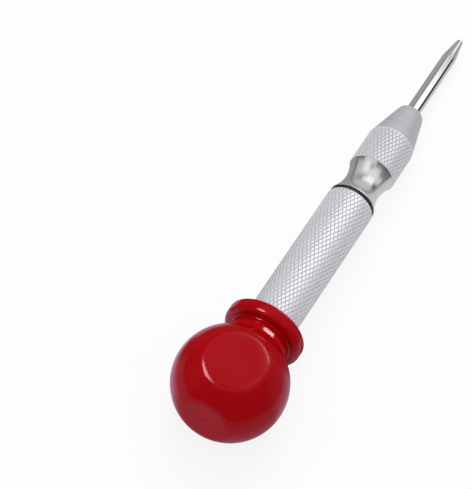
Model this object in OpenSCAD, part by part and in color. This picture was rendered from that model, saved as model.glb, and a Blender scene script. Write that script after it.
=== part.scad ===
// Automatic center punch with a ball cap, lying on its side as it rests on a bench.
// Each piece is drawn upright about its own axis, with z = 0 at the front face of the barrel
// and +z towards the tip. The whole tool is then laid down: +X runs towards the tip, the floor
// is z = 0, and the tool touches it with the lower side flat and the front of the nose band.

/* [Ball cap] */
// Diameter of the ball
ball_d = 30; // [28:0.5:33]
// Distance across the two side flats of the ball
side_flat_span = 25.4; // [23:0.2:27]
// Ball centre to the flat on its rear end
end_flat_reach = 13.7; // [12.5:0.1:13.9]
// Ball centre to the front face of the flange
flange_reach = 19.5; // [18.6:0.1:21.5]
// How far the flange stands out from the metal cap
flange_lip = 3.1; // [2.6:0.1:4]
// Radius of the rear edge of the flange rim
rim_rear_r = 2.2; // [1.6:0.1:2.6]
// Straight width of the flange rim
rim_land = 1.5; // [0.5:0.1:2]
// Radius of the front edge of the flange rim
rim_front_r = 0.6; // [0.3:0.1:1]
// Plastic left over the metal cap at the neck
neck_wall = 0.8; // [0.5:0.05:1.2]

/* [Adjusting cap] */
// Wall of the skirt that runs over the barrel
skirt_wall = 0.75; // [0.6:0.05:0.9]
// Depth of the skirt in front of the thread
skirt_l = 8; // [6:0.1:10]
// Length of the female thread
cap_thread_l = 10; // [8:0.1:11]
// Depth of the spring chamber behind the thread
cap_chamber_l = 7; // [6:0.1:8]
// Thickness of the end wall
cap_end_wall = 2; // [1.2:0.1:2.6]
// How far the skirt stays back from the flange face
cap_recess = 0.5; // [0.3:0.1:1.5]
// Travel of the adjusting thread each way from the middle setting
adjust_travel = 1.5; // [0.5:0.1:2]

/* [Barrel] */
// Diameter over the knurl
barrel_d = 13.2; // [12.8:0.1:14]
// Length of barrel that shows between flange and nose
barrel_show = 46; // [43:0.5:56]
// Depth of the smooth relief under the skirt
relief_depth = 0.3; // [0.1:0.05:0.45]
// Diameter of the male thread at the rear
barrel_thread_d = 11.6; // [11:0.1:12.2]
// Diameter of the bore the hammer runs in
bore_d = 9.5; // [9.2:0.1:9.8]
// Diameter of the front socket for nose and sleeve
socket_d = 11.4; // [11.2:0.1:11.8]

/* [Nose] */
// Width of the rubber ring at the joint
ring_w = 1.1; // [0.8:0.05:1.3]
// Outside diameter of the rubber ring
ring_d = 12.8; // [12.4:0.1:13]
// Diameter of the bright collar behind the waist
collar_d = 13; // [12.6:0.1:13.1]
// Width of the collar
collar_w = 0.7; // [0.4:0.05:1.2]
// Bevel on the rear edge of the collar
collar_bevel = 0.2; // [0.1:0.05:0.3]
// Smallest diameter of the waist
waist_d = 10.2; // [9.8:0.1:11.4]
// Length of the waist
waist_l = 11; // [9:0.1:14]
// Diameter of the knurled band
band_d = 13; // [12.6:0.1:13.1]
// Length of the knurled band
band_l = 10.8; // [8:0.1:14]
// Length of the smooth cone
cone_l = 12.9; // [9:0.1:15]
// Diameter of the front face of the cone
nose_front_d = 7.2; // [6.8:0.1:9]
// Bevel between cone and front face
front_bevel = 0.45; // [0.2:0.05:0.7]
// Length of the threaded spigot inside the barrel
spigot_l = 8; // [6.5:0.1:10]
// Diameter of the bore for the plunger and its spring
nose_bore_d = 7.2; // [6.8:0.1:7.8]
// Length of the small bore that guides the shank of the point
point_guide_l = 10.9; // [8:0.1:12]

/* [Point and plunger] */
// Diameter of the exposed rod
rod_d = 4; // [3.5:0.1:4.4]
// Straight rod in front of the nose
rod_show = 22.3; // [20:0.1:30]
// Length of the ground taper
taper_l = 7.6; // [5:0.1:11]
// Diameter of the blunt end
tip_d = 1.8; // [0.8:0.1:2.4]
// How far the shank inside the nose stands out from the rod
shank_step = 0.2; // [0.1:0.05:0.4]
// Length of the threaded tail in the plunger
tail_l = 6; // [4:0.1:7]
// Diameter of the threaded tail
tail_d = 3; // [2.5:0.1:3.2]
// Length of the plunger head
head_l = 8; // [7.6:0.1:10]
// Diameter of the plunger stem
stem_d = 2.5; // [2.2:0.1:2.8]
// Length of the bush that guides the stem
guide_l = 4; // [3:0.1:5]

/* [Striking mechanism] */
// Travel of the point from rest to release
press_stroke = 9; // [7:0.1:10]
// Length of the hammer without its rear spigot
hammer_l = 28; // [26:0.5:32]
// Depth of the entry bore in front of the trip block
entry_l = 2.7; // [2:0.1:4]
// Thickness of the trip block
block_t = 3.9; // [3.4:0.1:4.4]
// Width of the trip block
block_w = 4.4; // [4:0.1:5]
// How far the trip block stands off centre at rest
trip_offset = 0.6; // [0.45:0.05:0.65]
// Depth of the bore behind the block, whose floor hits the stem
strike_l = 4; // [2.5:0.1:5]
// Metal between the stem hole and the spring end of the block
block_wall = 0.55; // [0.4:0.05:0.7]
// Room for the trip spring when the block is centred
trip_room = 1.8; // [1.75:0.05:1.9]
// Straight length of the release sleeve behind its taper
sleeve_land = 2; // [1.5:0.1:3]
// Length of the spigots inside the main spring
spring_spigot_l = 3; // [2:0.1:4]
// Thickness of the spring seat
seat_t = 2; // [1.5:0.1:2.6]

/* [Springs] */
// Wire of the main spring
main_wire = 1; // [0.8:0.05:1.1]
// Curls of the main spring
main_turns = 14; // [10:1:16]
// Room round the main spring in the barrel
main_room = 0.5; // [0.3:0.05:0.6]
// Wire of the return spring
return_wire = 0.6; // [0.45:0.05:0.7]
// Curls of the return spring
return_turns = 11; // [8:1:13]
// Wire of the trip spring
trip_wire = 0.25; // [0.2:0.01:0.26]
// Curls of the trip spring
trip_turns = 3; // [3:1:3]
// Mean diameter of the trip spring
trip_coil_d = 1.8; // [1.6:0.1:2.2]
// Open gap between the end curls of every spring
end_curl_gap = 0.45; // [0.42:0.01:0.5]

/* [Fits] */
// Radial clearance of a sliding or turning fit
run_clear = 0.1; // [0.05:0.01:0.12]
// Radial clearance of the shank in its guide
point_clear = 0.05; // [0.03:0.01:0.1]
// Radial clearance between hammer, block and release sleeve
cam_clear = 0.07; // [0.05:0.01:0.1]
// Clearance of pieces that are pressed or screwed home
seat_clear = 0.02; // [0.01:0.01:0.05]
// Clearance round the trip block, and between stem and block
slide_clear = 0.05; // [0.03:0.01:0.1]
// Radial clearance of the skirt over the knurl
skirt_clear = 0.25; // [0.15:0.05:0.35]
// Least gap left at a stop that the travel doesn't reach
stop_gap = 0.3; // [0.2:0.05:0.5]

/* [Hidden] */
$fn = 96;
overcut = 1;

// Stations of the cap end, along the axis
flange_z = -barrel_show;
ball_z = flange_z - flange_reach;
cap_front_z = flange_z - cap_recess;
skirt_floor_z = cap_front_z - skirt_l;
thread_floor_z = skirt_floor_z - cap_thread_l;
chamber_floor_z = thread_floor_z - cap_chamber_l;
cap_rear_z = chamber_floor_z - cap_end_wall;
barrel_shoulder_z = skirt_floor_z + adjust_travel + stop_gap;
barrel_rear_z = thread_floor_z + adjust_travel + stop_gap;
seat_front_z = chamber_floor_z + seat_t;

// Radii of the cap end
ball_r = ball_d / 2;
barrel_r = barrel_d / 2;
skirt_r = barrel_r + skirt_clear;
cap_r = skirt_r + skirt_wall;
cap_socket_r = cap_r + seat_clear;
barrel_thread_r = barrel_thread_d / 2;
cap_thread_r = barrel_thread_r + run_clear;
bore_r = bore_d / 2;
chamber_r = bore_r + stop_gap;
seat_r = chamber_r - run_clear;
side_flat = side_flat_span / 2;
side_flat_r = sqrt(ball_r * ball_r - side_flat * side_flat);
end_flat_r = sqrt(ball_r * ball_r - end_flat_reach * end_flat_reach);

// Stations of the nose
collar_z = ring_w;
waist_z = collar_z + collar_w;
band_z = waist_z + waist_l;
cone_z = band_z + band_l;
nose_front_z = cone_z + cone_l;
plunger_stop_z = nose_front_z - point_guide_l;
spigot_rear_z = -spigot_l;

// Radii of the nose
band_r = band_d / 2;
collar_r = collar_d / 2;
socket_r = socket_d / 2;
spigot_r = socket_r - slide_clear;
ring_section_r = ring_w / 2 - seat_clear;
ring_mid_r = ring_d / 2 - ring_section_r;
ring_seat_r = ring_mid_r - ring_section_r - seat_clear;
nose_bore_r = nose_bore_d / 2;
rod_r = rod_d / 2;
shank_r = rod_r + shank_step;
point_guide_r = shank_r + point_clear;
waist_depth = band_r - waist_d / 2;
waist_arc_r = (waist_l * waist_l / 4 + waist_depth * waist_depth) / (2 * waist_depth);

// Stations of the striking parts at rest
head_front_z = plunger_stop_z - slide_clear;
head_rear_z = head_front_z - head_l;
rod_start_z = nose_front_z - seat_clear;
taper_z = nose_front_z + rod_show;
tip_z = taper_z + taper_l;
guide_front_z = spigot_rear_z + guide_l;
hammer_front_z = spigot_rear_z - stop_gap;
pocket_front_z = hammer_front_z - entry_l;
pocket_rear_z = pocket_front_z - block_t - 2 * slide_clear;
block_front_z = pocket_front_z - slide_clear;
block_rear_z = block_front_z - block_t;
stem_rear_z = block_front_z + slide_clear;
strike_floor_z = pocket_rear_z - strike_l;
hammer_rear_z = hammer_front_z - hammer_l;
cam_end_z = block_rear_z - press_stroke;
sleeve_rear_z = cam_end_z - sleeve_land;

// Radii of the striking parts
stem_r = stem_d / 2;
stem_hole_r = stem_r + run_clear;
entry_r = stem_r + 4 * run_clear + trip_offset;
hammer_r = bore_r - run_clear;
cam_rear_r = hammer_r + cam_clear;
cam_front_r = cam_rear_r + trip_offset;
block_inner_y = -(stem_hole_r + block_wall);
pocket_floor_y = block_inner_y - trip_room;
head_r = nose_bore_r - run_clear;

// Springs
spring_rings = 8;
spring_sides = 6;
main_coil_r = bore_r - main_room - main_wire / 2;
return_coil_r = (stem_r + nose_bore_r) / 2;
spring_spigot_r = main_coil_r * cos(180 / spring_rings) - main_wire / 2 - main_room / 2;

// Resting pose: the lower side flat and the front edge of the band touch the floor
tilt = atan2(side_flat - band_r, cone_z - ball_z - side_flat_r);
rest_z = side_flat_r * sin(tilt) + side_flat * cos(tilt) + ball_z * sin(tilt);
span_mid = (tip_z + ball_z - end_flat_reach) * cos(tilt) + (tip_d / 2 - end_flat_r) * sin(tilt);
rest_x = -span_mid / 2;

// Lays an upright piece down on the floor
module laid() {
    translate([rest_x, 0, rest_z])
        rotate([0, 90 + tilt, 0])
            children();
}

// A cylinder between two stations
module rod(z0, z1, r) {
    translate([0, 0, z0])
        cylinder(h = z1 - z0, r = r);
}

// Points on a circle from angle a0 to a1, in the plane of radius and height
function arc(center, r, a0, a1, steps) = [
    for (i = [0:steps])
        center + r * [cos(a0 + (a1 - a0) * i / steps), sin(a0 + (a1 - a0) * i / steps)]
];

// Neck of the ball cap: a hollow that touches ball and flange rim and leaves the wall wanted
flange_r = cap_r + flange_lip;
rim_c = [flange_r - rim_rear_r, flange_reach - rim_front_r - rim_land];
rim_front_c = [flange_r - rim_front_r, flange_reach - rim_front_r];
neck_r = cap_socket_r + neck_wall;
neck_k1 = 2 * (ball_r - flange_r);
neck_room = ball_r * ball_r - neck_r * neck_r;
neck_k0 = neck_room + pow(neck_r - rim_c.x, 2) - rim_rear_r * rim_rear_r + rim_c.y * rim_c.y;
neck_b = 2 * neck_k0 * neck_k1 - 8 * rim_c.y * rim_c.y * (ball_r - neck_r);
neck_c = neck_k0 * neck_k0 - 4 * rim_c.y * rim_c.y * neck_room;
neck_arc_r = 2 * neck_c / (-neck_b + sqrt(neck_b * neck_b - 4 * neck_k1 * neck_k1 * neck_c));
neck_c_x = neck_r + neck_arc_r;
neck_center = [neck_c_x, sqrt(pow(ball_r + neck_arc_r, 2) - neck_c_x * neck_c_x)];
neck_touch = neck_center * ball_r / (ball_r + neck_arc_r);
rim_dir = rim_c - neck_center;
neck_sink = 0.97;
arc_steps = 14;

function neck_outline() = concat(
    [[0, neck_touch.y * neck_sink], neck_touch * neck_sink],
    arc(neck_center, neck_arc_r, 180 + atan2(neck_center.y, neck_center.x),
        atan2(rim_dir.y, rim_dir.x), arc_steps),
    arc(rim_c, rim_rear_r, atan2(-rim_dir.y, -rim_dir.x), 0, arc_steps),
    arc(rim_front_c, rim_front_r, 0, 90, arc_steps / 2),
    [[0, flange_reach]]
);

// Red moulded cap: a ball with two side flats and an end flat, a neck and a round flange
module ball_cap() {
    color("#b40f1e") laid() difference() {
        translate([0, 0, ball_z]) {
            difference() {
                sphere(r = ball_r);
                for (side = [-1, 1])
                    translate([side * (side_flat + ball_r), 0, 0])
                        cube(2 * ball_r, center = true);
                translate([0, 0, -end_flat_reach - ball_r])
                    cube(2 * ball_r, center = true);
            }
            rotate_extrude() polygon(neck_outline());
        }
        rod(cap_rear_z, flange_z + overcut, cap_socket_r);
    }
}

// Metal cap inside the ball, screwed on the rear of the barrel
module adjusting_cap() {
    color("#c9cacc") laid() difference() {
        rod(cap_rear_z, cap_front_z, cap_r);
        rod(skirt_floor_z, cap_front_z + overcut, skirt_r);
        rod(thread_floor_z, skirt_floor_z + overcut, cap_thread_r);
        rod(chamber_floor_z, thread_floor_z + overcut, chamber_r);
    }
}

// Seat that carries the rear end of the main spring and slides with the cap
module spring_seat() {
    color("#8e9196") laid() {
        rod(chamber_floor_z, seat_front_z, seat_r);
        rod(seat_front_z, seat_front_z + spring_spigot_l, spring_spigot_r);
    }
}

// Knurled barrel with the rear thread, the hammer bore and the front socket
module barrel() {
    color("#c4c6c9") laid() difference() {
        union() {
            rod(flange_z, 0, barrel_r);
            rod(barrel_shoulder_z, flange_z, barrel_r - relief_depth);
            rod(barrel_rear_z, barrel_shoulder_z, barrel_thread_r);
        }
        rod(barrel_rear_z - overcut, overcut, bore_r);
        rod(sleeve_rear_z, overcut, socket_r);
    }
}

// Hardened sleeve whose taper pushes the trip block to the centre
module release_sleeve() {
    color("#7f8288") laid() difference() {
        rod(sleeve_rear_z, spigot_rear_z - slide_clear, socket_r - seat_clear);
        rod(block_rear_z, spigot_rear_z + overcut, cam_front_r);
        translate([0, 0, cam_end_z])
            cylinder(h = press_stroke, r1 = cam_rear_r, r2 = cam_front_r);
        rod(sleeve_rear_z - overcut, cam_end_z + overcut / 2, cam_rear_r);
    }
}

// Hammer with the pocket for the trip block
module hammer() {
    pocket_l = hammer_r + overcut - pocket_floor_y;
    pocket_w = block_w + 2 * slide_clear;
    color("#6f7277") laid() difference() {
        union() {
            rod(hammer_rear_z, hammer_front_z, hammer_r);
            rod(hammer_rear_z - spring_spigot_l, hammer_rear_z, spring_spigot_r);
        }
        rod(pocket_front_z - overcut, hammer_front_z + overcut, entry_r);
        rod(strike_floor_z, pocket_front_z, stem_r + 2 * run_clear);
        translate([-pocket_w / 2, pocket_floor_y, pocket_rear_z])
            cube([pocket_w, pocket_l, pocket_front_z - pocket_rear_z]);
    }
}

// Trip block, off centre at rest so that the stem pushes on its face
module trip_block() {
    color("#9a8f6a") laid() translate([0, trip_offset, 0]) difference() {
        intersection() {
            rod(block_rear_z, block_front_z, hammer_r);
            translate([-block_w / 2, block_inner_y, block_rear_z - overcut])
                cube([block_w, hammer_r - block_inner_y, block_t + 2 * overcut]);
        }
        rod(block_rear_z - overcut, block_front_z + overcut, stem_hole_r);
    }
}

// Rubber ring in the joint between barrel and nose
module joint_ring() {
    color("#1c1c1e") laid() translate([0, 0, ring_w / 2])
        rotate_extrude()
            translate([ring_mid_r, 0])
                circle(r = ring_section_r);
}

// Nose: spigot, ring seat, bright collar, waist, knurled band and smooth cone
module nose() {
    outline = [
        [0, spigot_rear_z], [spigot_r, spigot_rear_z], [spigot_r, 0],
        [ring_seat_r, 0], [ring_seat_r, collar_z],
        [collar_r - collar_bevel, collar_z], [collar_r, collar_z + collar_bevel],
        [collar_r, waist_z], [band_r, band_z], [band_r, cone_z],
        [nose_front_d / 2, nose_front_z - front_bevel],
        [nose_front_d / 2 - front_bevel, nose_front_z], [0, nose_front_z]
    ];
    color("#bfc1c4") laid() difference() {
        rotate_extrude() polygon(outline);
        translate([0, 0, waist_z + waist_l / 2])
            rotate_extrude()
                translate([waist_d / 2 + waist_arc_r, 0])
                    circle(r = waist_arc_r);
        rod(spigot_rear_z - overcut, plunger_stop_z, nose_bore_r);
        rod(plunger_stop_z - overcut, nose_front_z + overcut, point_guide_r);
    }
}

// Bush pressed into the rear of the nose, which guides the stem
module stem_guide() {
    color("#b08d4a") laid() difference() {
        rod(spigot_rear_z, guide_front_z, nose_bore_r - seat_clear);
        rod(spigot_rear_z - overcut, guide_front_z + overcut, stem_hole_r);
    }
}

// Plunger: head that stops in the nose, and the stem that pushes on the trip block
module plunger() {
    color("#84878c") laid() difference() {
        union() {
            rod(head_rear_z, head_front_z, head_r);
            rod(stem_rear_z, head_rear_z, stem_r);
        }
        rod(head_front_z - tail_l - slide_clear, head_front_z + overcut, tail_d / 2 + seat_clear);
    }
}

// Hardened point: threaded tail, guided shank, straight rod and ground taper
module punch_point() {
    color("#d4d6d9") laid() {
        rod(head_front_z - tail_l, head_front_z, tail_d / 2);
        rod(head_front_z, rod_start_z, shank_r);
        rod(rod_start_z, taper_z, rod_r);
        translate([0, 0, taper_z])
            cylinder(h = taper_l, r1 = rod_r, r2 = tip_d / 2);
    }
}

// Height of a compression spring's wire after t turns: tight end curls, even ones between
function curl_z(t, span, turns, end_pitch) =
    t < 1 ? end_pitch * t :
    t > turns - 1 ? span - end_pitch * (turns - t) :
    end_pitch + (t - 1) * (span - 2 * end_pitch) / (turns - 2);

// Centre line of a spring of the given free length, with its wire clear of both seats
function curl_line(r, wire, length, turns) = [
    for (i = [0:turns * spring_rings])
        let (t = i / spring_rings)
            [r * cos(360 * t), r * sin(360 * t), wire / 2 + seat_clear +
                curl_z(t, length - wire - 2 * seat_clear, turns, wire + end_curl_gap)]
];

// Least gap of a spring to itself, between rings at least half a turn apart
function least_gap(line, wire) = min([
    for (i = [0:len(line) - 1], j = [i + spring_rings / 2:len(line) - 1])
        norm(line[i] - line[j])
]) - wire;

// One unbroken round wire along a centre line that winds about z
module wound_wire(line, wire) {
    last = len(line) - 1;
    points = [
        for (p = line, k = [0:spring_sides - 1])
            let (a = 360 * k / spring_sides, out = [p.x, p.y, 0] / norm([p.x, p.y, 0]))
                p + wire / 2 * (cos(a) * out + sin(a) * [0, 0, 1])
    ];
    sides = [
        for (i = [0:last - 1], k = [0:spring_sides - 1], half = [0, 1])
            let (a = i * spring_sides + k, b = i * spring_sides + (k + 1) % spring_sides)
                half == 0 ? [a, b, a + spring_sides] : [b, b + spring_sides, a + spring_sides]
    ];
    caps = [
        for (k = [1:spring_sides - 2], end = [0, 1])
            end == 0 ? [0, k + 1, k] :
            [last * spring_sides, last * spring_sides + k, last * spring_sides + k + 1]
    ];
    polyhedron(points, concat(sides, caps));
}

main_line = curl_line(main_coil_r, main_wire, hammer_rear_z - seat_front_z, main_turns);
return_line = curl_line(return_coil_r, return_wire, head_rear_z - guide_front_z, return_turns);
trip_line = curl_line(trip_coil_d / 2, trip_wire, trip_room + trip_offset, trip_turns);

// Main spring, from the seat in the cap to the hammer
module main_spring() {
    color("#5d6065") laid() translate([0, 0, seat_front_z])
        wound_wire(main_line, main_wire);
}

// Return spring, from the stem guide to the plunger head
module return_spring() {
    color("#6b6e73") laid() translate([0, 0, guide_front_z])
        wound_wire(return_line, return_wire);
}

// Trip spring, from the floor of the hammer's pocket to the trip block
module trip_spring() {
    color("#7a7d82") laid()
        translate([0, pocket_floor_y, (pocket_front_z + pocket_rear_z) / 2])
            rotate([-90, 0, 0])
                wound_wire(trip_line, trip_wire);
}

ball_cap();
adjusting_cap();
spring_seat();
main_spring();
barrel();
release_sleeve();
hammer();
trip_block();
trip_spring();
joint_ring();
nose();
stem_guide();
return_spring();
plunger();
punch_point();

echo(least_gap_main_spring = least_gap(main_line, main_wire));
echo(least_gap_return_spring = least_gap(return_line, return_wire));
echo(least_gap_trip_spring = least_gap(trip_line, trip_wire));
echo(tilt = tilt, rest_x = rest_x, rest_z = rest_z, neck_arc_r = neck_arc_r, neck_r = neck_r);
echo(ball_z = ball_z, tip_z = tip_z, head_rear_z = head_rear_z, hammer_rear_z = hammer_rear_z);
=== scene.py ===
# Automatic center punch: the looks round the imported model.
# Shapes are drawn in millimetres about the tool's own axis, with z = 0 at the front face of the
# barrel and +z towards the tip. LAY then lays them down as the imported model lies.

import math

import bmesh
import bpy
import numpy as np
from mathutils import Matrix, Vector

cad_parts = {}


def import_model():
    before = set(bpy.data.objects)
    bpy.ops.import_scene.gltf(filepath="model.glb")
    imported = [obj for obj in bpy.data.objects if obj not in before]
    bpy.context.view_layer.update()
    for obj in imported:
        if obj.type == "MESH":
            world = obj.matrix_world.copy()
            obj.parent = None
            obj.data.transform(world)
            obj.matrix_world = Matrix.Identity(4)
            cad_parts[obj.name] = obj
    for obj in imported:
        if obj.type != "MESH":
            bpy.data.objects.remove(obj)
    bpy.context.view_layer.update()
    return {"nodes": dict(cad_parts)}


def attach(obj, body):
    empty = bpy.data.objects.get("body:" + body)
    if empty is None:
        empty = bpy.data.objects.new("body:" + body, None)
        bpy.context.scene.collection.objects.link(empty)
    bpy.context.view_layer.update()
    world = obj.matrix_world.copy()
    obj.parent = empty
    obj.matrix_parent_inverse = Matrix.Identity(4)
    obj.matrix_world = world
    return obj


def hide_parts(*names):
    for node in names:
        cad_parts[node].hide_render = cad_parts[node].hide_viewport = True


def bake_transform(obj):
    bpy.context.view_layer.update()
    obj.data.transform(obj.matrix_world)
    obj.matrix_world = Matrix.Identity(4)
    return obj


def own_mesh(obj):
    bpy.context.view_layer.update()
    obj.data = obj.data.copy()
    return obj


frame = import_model()
scene = bpy.context.scene

# Ball cap
BALL_R = 15.0
SIDE_FLAT = 12.7
END_FLAT = 13.7
END_CUT = 13.35
UPPER_LEAN = math.radians(7)
FLAT_FILLET = 0.5
WORN_FILLET = 0.2
FLANGE_REACH = 19.5
FLANGE_R = 10.7
RIM_REAR_R = 1.6
RIM_LAND = 1.6
RIM_FRONT_R = 0.55
CAP_SOCKET_R = 7.62
NECK_R = 8.42
NECK_MID = 14.05
NECK_LEAN = math.radians(9)
NECK_REAR_R = 1.7
NECK_FRONT_R = 0.5
CAP_REAR = -73.5
SOCKET_MOUTH_CHAMFER = 0.25
SOCKET_FLOOR_CHAMFER = 0.3
MOULD_LINE = (0.13, 4.0, 0.06)
MOULD_NUB = (0.34, 0.34, 0.20)
WORN_TOWARD = np.array((0, -0.8, 0.6))
WORN_SOFT, WORN_SHIFT = 6.0, 0.6
WEAR_SPREAD = 1.3

# Barrel
BARREL_R = 6.6
BARREL_SHOW = 46.0
BARREL_SHOULDER = -52.7
BARREL_REAR = -62.7
RELIEF_R = 6.3
BARREL_THREAD_R = 5.8
BORE_R = 4.75
SOCKET_R = 5.7
SLEEVE_REAR = -25.95
BORE_CHAMFER = 0.15
THREAD_CHAMFER = 0.35
RELIEF_CHAMFER = 0.1

# Ring and nose
RING_W = 1.1
RING_MID_R = 5.87
RING_SECTION_R = 0.53
RING_SEAT_R = 5.32
RING_STEPS = 72
RING_SEAM, RING_SEAM_WIDTH = 0.04, 0.11
COLLAR_R = 6.5
COLLAR = 1.1
COLLAR_CHAMFER = 0.12
COLLAR_EDGE_R, COLLAR_EDGE_Z = 0.05, 0.06
WAIST = 1.45
WAIST_R = 5.1
BAND = 12.45
BAND_R = 6.5
BAND_EDGE = 0.03
BAND_RUN_IN = 0.12
CONE = 23.6
NOSE_FRONT = 36.5
BEND = 33.8
BEND_R = 4.13
BEND_ARC = 17.0
BEND_END = math.radians(20)
FRONT_ARC = 1.0
SPIGOT_R = 5.65
SPIGOT_REAR = -8.0
NOSE_BORE_R = 3.6
PLUNGER_STOP = 25.6
POINT_GUIDE_R = 2.25
SPIGOT_CHAMFER = 0.3
NOSE_BORE_CHAMFER = 0.2
GUIDE_CHAMFER = 0.1

# Point
TAIL_REAR = 19.55
TAIL_R = 1.5
HEAD_FRONT = 25.55
SHANK_R = 2.2
ROD_START = 36.48
ROD_R = 2.0
TAPER = 58.8
TIP = 66.4
TIP_R = 0.9
TIP_EDGE_R = 0.25
TAIL_CHAMFER = 0.25
SHANK_REAR_CHAMFER = 0.1
SHANK_FRONT_CHAMFER = 0.08
TAPER_EASE_R, TAPER_EASE_Z = 0.008, 0.1

# Springs: wire, coil radius and turns, and the stations of their seats
SEAT_FRONT = -69.5
HAMMER_REAR = -36.3
GUIDE_FRONT = -4.0
HEAD_REAR = 17.55
MAIN_WIRE, MAIN_COIL_R, MAIN_TURNS = 1.0, 3.75, 14
RETURN_WIRE, RETURN_COIL_R, RETURN_TURNS = 0.6, 2.425, 11
TRIP_WIRE, TRIP_COIL_R, TRIP_TURNS = 0.25, 0.9, 3
TRIP_LENGTH = 2.4
TRIP_FLOOR_Y = -3.7
TRIP_MID = -13.0
END_CURL_GAP = 0.45
SEAT_CLEAR = 0.02
MAIN_SPLIT_TURN = 4.0
WIRE_STEPS, WIRE_SIDES = 28, 14

# Knurl
KNURL_STARTS = 36
KNURL_ANGLE = math.radians(27.1)
KNURL_DEPTH = 0.17
KNURL_TOP = 0.33
KNURL_FLOOR = 0.46
KNURL_CROWN = 0.02
KNURL_WELD = 0.001
RUN_OUT_CUTS = (0.25, 0.5, 0.75, 1.0)
# Painted brightness where the knurl runs out shallow, so less shade is painted in its valleys
RUN_OUT_PAINTED_BRIGHTNESS = 0.8

# How the tool lies: on the lower side flat and on the front edge of the band
BALL_Z = -BARREL_SHOW - FLANGE_REACH
SIDE_FLAT_R = math.sqrt(BALL_R**2 - SIDE_FLAT**2)
END_FLAT_R = math.sqrt(BALL_R**2 - END_FLAT**2)
TILT = math.atan2(SIDE_FLAT - BAND_R, CONE - BALL_Z - SIDE_FLAT_R)
SIN_T, COS_T = math.sin(TILT), math.cos(TILT)
REST_Z = SIDE_FLAT_R * SIN_T + SIDE_FLAT * COS_T + BALL_Z * SIN_T
REST_X = -((TIP + BALL_Z - END_FLAT) * COS_T + (TIP_R - END_FLAT_R) * SIN_T) / 2
MM = 0.001
LAY = Matrix.Scale(MM, 4) @ Matrix((
    (-SIN_T, 0, COS_T, REST_X),
    (0, 1, 0, 0),
    (-COS_T, 0, -SIN_T, REST_Z),
    (0, 0, 0, 1),
))
AXIS = Vector((COS_T, 0, -SIN_T))
MERGE = 1e-4
SAME_STATION = 0.002
AROUND = 160
BALL_AROUND = 288
BALL_RINGS = 150
HALVINGS = 40


def at(z, x=0.0, y=0.0):
    """A point of the upright tool, in metres where the tool lies."""
    return LAY @ Vector((x, y, z))


# Camera: the focal length and the long side of the image are in pixels. The seen values are in the
# camera's own frame, with x to the right, y down and z away from it.

FOCAL_PX = 3028.0
IMAGE_LONG = 489.0
SENSOR = 36.0
BALL_SEEN = Vector((-1.4753, 34.3772, 751.8309))
AXIS_PITCH, AXIS_TURN = 0.5941, 0.9613
FLAT_SEEN = Vector((0.1608, -0.5583, -0.8139))

axis_seen = Vector((
    math.cos(AXIS_PITCH) * math.cos(AXIS_TURN),
    -math.cos(AXIS_PITCH) * math.sin(AXIS_TURN),
    math.sin(AXIS_PITCH),
))
flat_seen = (FLAT_SEEN - FLAT_SEEN.dot(axis_seen) * axis_seen).normalized()
x_seen = COS_T * axis_seen + SIN_T * flat_seen
z_seen = COS_T * flat_seen - SIN_T * axis_seen
y_seen = z_seen.cross(x_seen)
to_seen = Matrix((x_seen, y_seen, z_seen)).transposed()
eye = at(BALL_Z) - MM * (to_seen.transposed() @ BALL_SEEN)
right = to_seen.transposed() @ Vector((1, 0, 0))
up = to_seen.transposed() @ Vector((0, -1, 0))
back = to_seen.transposed() @ Vector((0, 0, -1))
camera = bpy.data.objects.new("camera", bpy.data.cameras.new("camera"))
camera.data.sensor_width = SENSOR
camera.data.lens = FOCAL_PX / IMAGE_LONG * SENSOR
camera.data.clip_start = 0.01
camera.data.clip_end = 50
camera.matrix_world = Matrix.Translation(eye) @ Matrix((right, up, back)).transposed().to_4x4()
scene.collection.objects.link(camera)
scene.camera = camera
scene.view_settings.view_transform = "Standard"


# Materials

GLOSS_ROUGH, WORN_ROUGH = 0.1525, 0.33625
SHADE_SCALE = 0.3
PATCH_SCALE, PATCH_DETAIL = 900, 4
PATCH_LOW, PATCH_HIGH = 0.93, 1.08


def material(name, base, metallic, roughness):
    """A new material, with its node tree and main shader."""
    made = bpy.data.materials.new(name)
    made.use_nodes = True
    shader = made.node_tree.nodes["Principled BSDF"]
    shader.inputs["Base Color"].default_value = (*base, 1)
    shader.inputs["Metallic"].default_value = metallic
    shader.inputs["Roughness"].default_value = roughness
    made.diffuse_color = (*base, 1)
    return made, made.node_tree, shader


def grain(tree, scale, detail=3.0):
    """Noise that fills space, by the piece's own place at rest."""
    place = tree.nodes.new("ShaderNodeTexCoord")
    noise = tree.nodes.new("ShaderNodeTexNoise")
    noise.inputs["Scale"].default_value = scale
    noise.inputs["Detail"].default_value = detail
    tree.links.new(place.outputs["Object"], noise.inputs["Vector"])
    return noise.outputs["Fac"]


def turning(tree, scale, detail=2.0):
    """Noise that changes along the tool's axis only, as turning marks do."""
    place = tree.nodes.new("ShaderNodeTexCoord")
    along = tree.nodes.new("ShaderNodeVectorMath")
    along.operation = "DOT_PRODUCT"
    along.inputs[1].default_value = AXIS
    noise = tree.nodes.new("ShaderNodeTexNoise")
    noise.noise_dimensions = "1D"
    noise.inputs["Scale"].default_value = scale
    noise.inputs["Detail"].default_value = detail
    tree.links.new(place.outputs["Object"], along.inputs[0])
    tree.links.new(along.outputs["Value"], noise.inputs["W"])
    return noise.outputs["Fac"]


def spread(tree, value, low, high, socket, start=0.3, end=0.7):
    """Drives a socket between two values."""
    span = tree.nodes.new("ShaderNodeMapRange")
    span.inputs["From Min"].default_value = start
    span.inputs["From Max"].default_value = end
    span.inputs["To Min"].default_value = low
    span.inputs["To Max"].default_value = high
    tree.links.new(value, span.inputs["Value"])
    tree.links.new(span.outputs["Result"], socket)


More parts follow.
